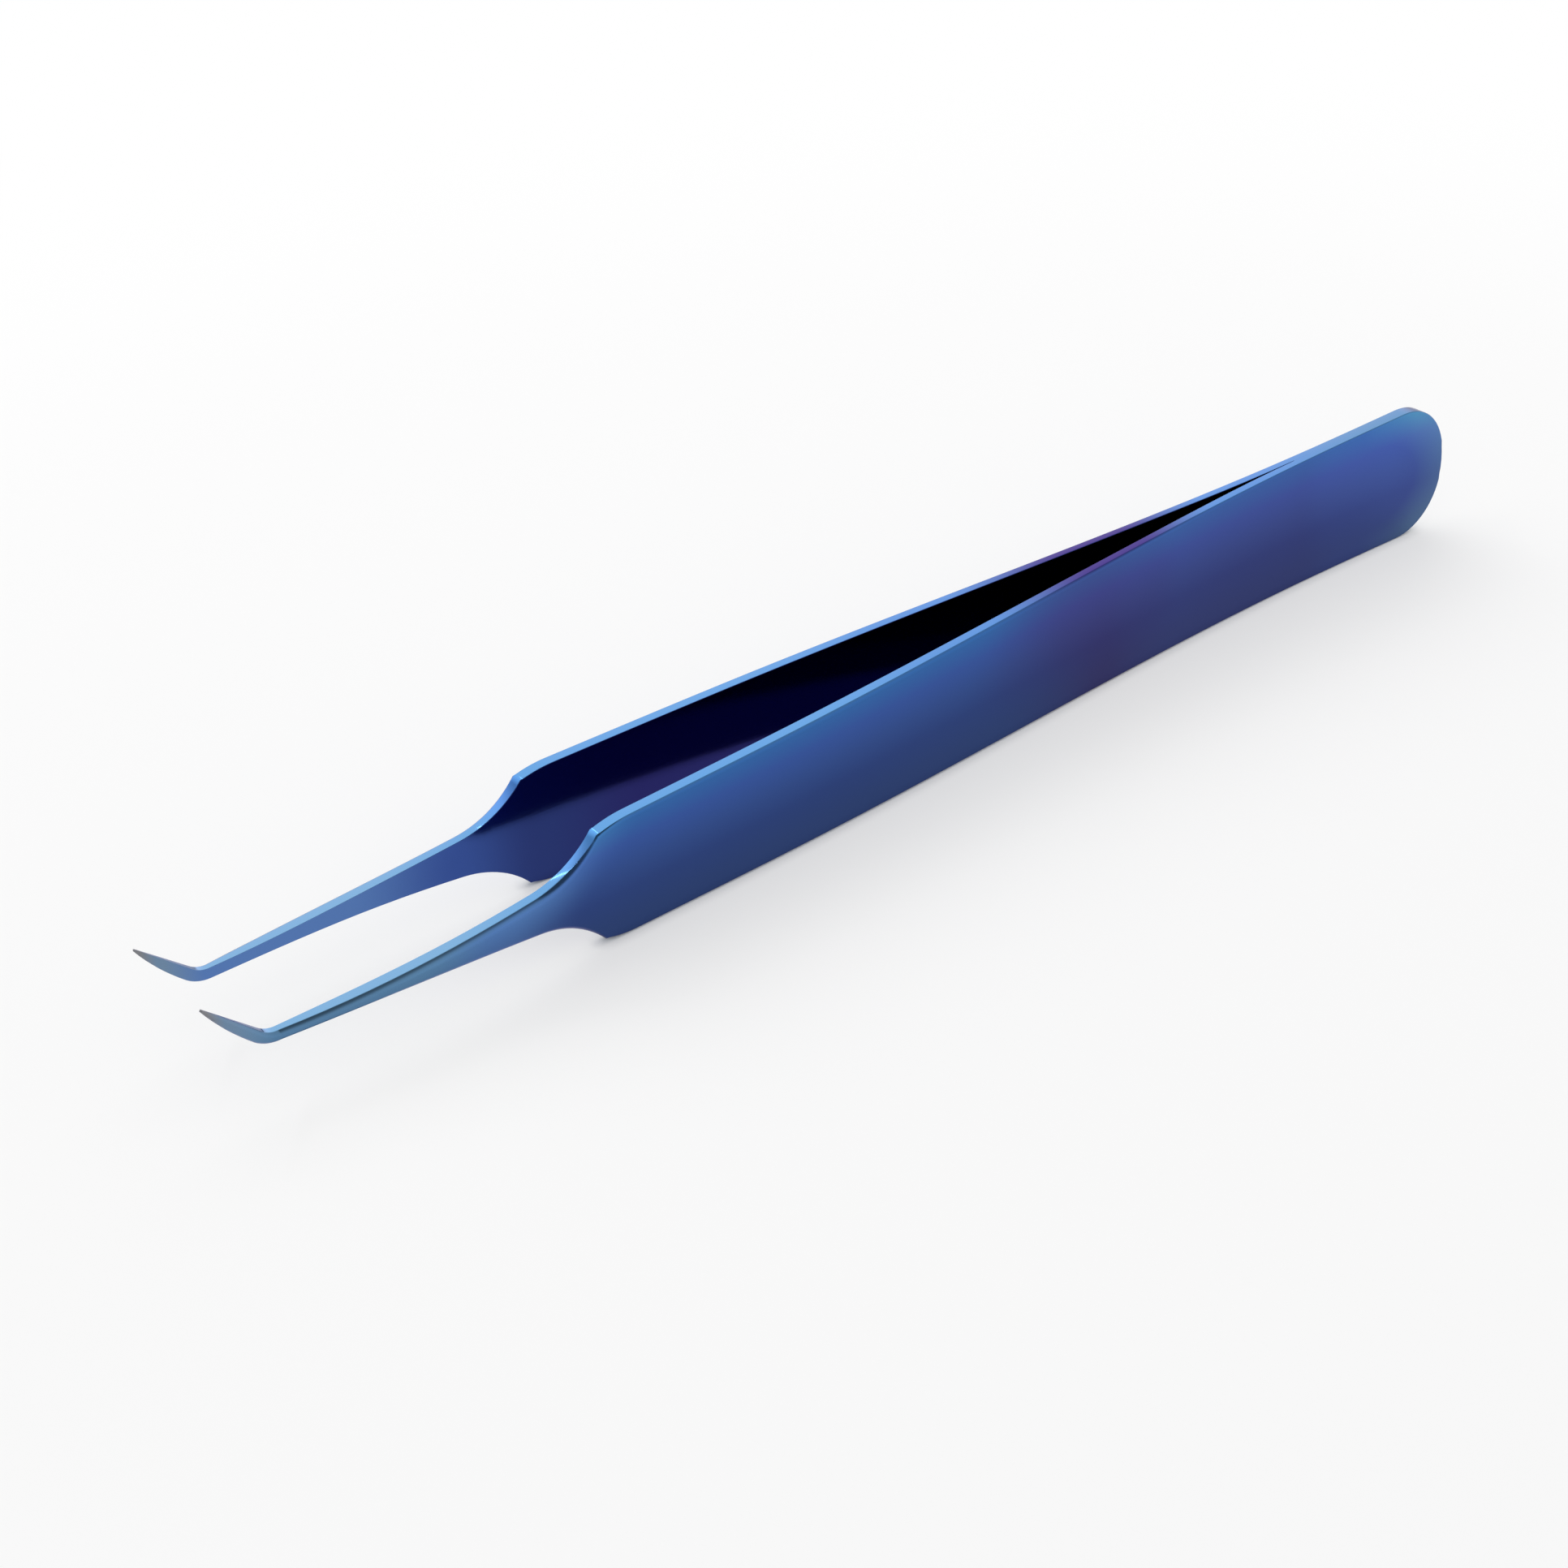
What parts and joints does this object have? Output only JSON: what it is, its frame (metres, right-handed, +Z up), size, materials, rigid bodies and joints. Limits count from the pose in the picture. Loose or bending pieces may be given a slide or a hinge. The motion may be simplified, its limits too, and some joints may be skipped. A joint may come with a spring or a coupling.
{
  "type": "tying forceps",
  "caption": "Slim spring forceps of blue anodised titanium: bowed arms welded at a round flat tail, necked to needle tips bent up at 45 degrees.",
  "frame": {"origin": "middle of the base of the whole object's box, on the surface that the lower edges lie on", "axes": "+X from the welded tail to the tips, +Y across the arms to the near arm, +Z up, the way the tips are bent"},
  "size_m": [0.115, 0.0106, 0.0111],
  "materials": {
    "blue_titanium": "blue anodised titanium, satin ground, with a violet cast in places"
  },
  "bodies": {
    "welded_tail": {"welded_tail": "blue_titanium"},
    "near_arm": {"near_arm": "blue_titanium"},
    "far_arm": {"far_arm": "blue_titanium"}
  },
  "joints": [
    {"name": "near_arm_flex", "type": "hinge", "parent": "welded_tail", "child": "near_arm", "pos_m": [-0.02744, 0.00099, 0.0052], "axis": [0, 0, -1], "range_deg": [0, 2.73], "stiffness_Nm_per_rad": 1.3},
    {"name": "far_arm_flex", "type": "hinge", "parent": "welded_tail", "child": "far_arm", "pos_m": [-0.02744, -0.00099, 0.0052], "axis": [0, 0, 1], "range_deg": [0, 2.73], "stiffness_Nm_per_rad": 1.3}
  ],
  "couplings": [
    {"joint": "far_arm_flex", "follows": "near_arm_flex", "ratio": 1}
  ]
}
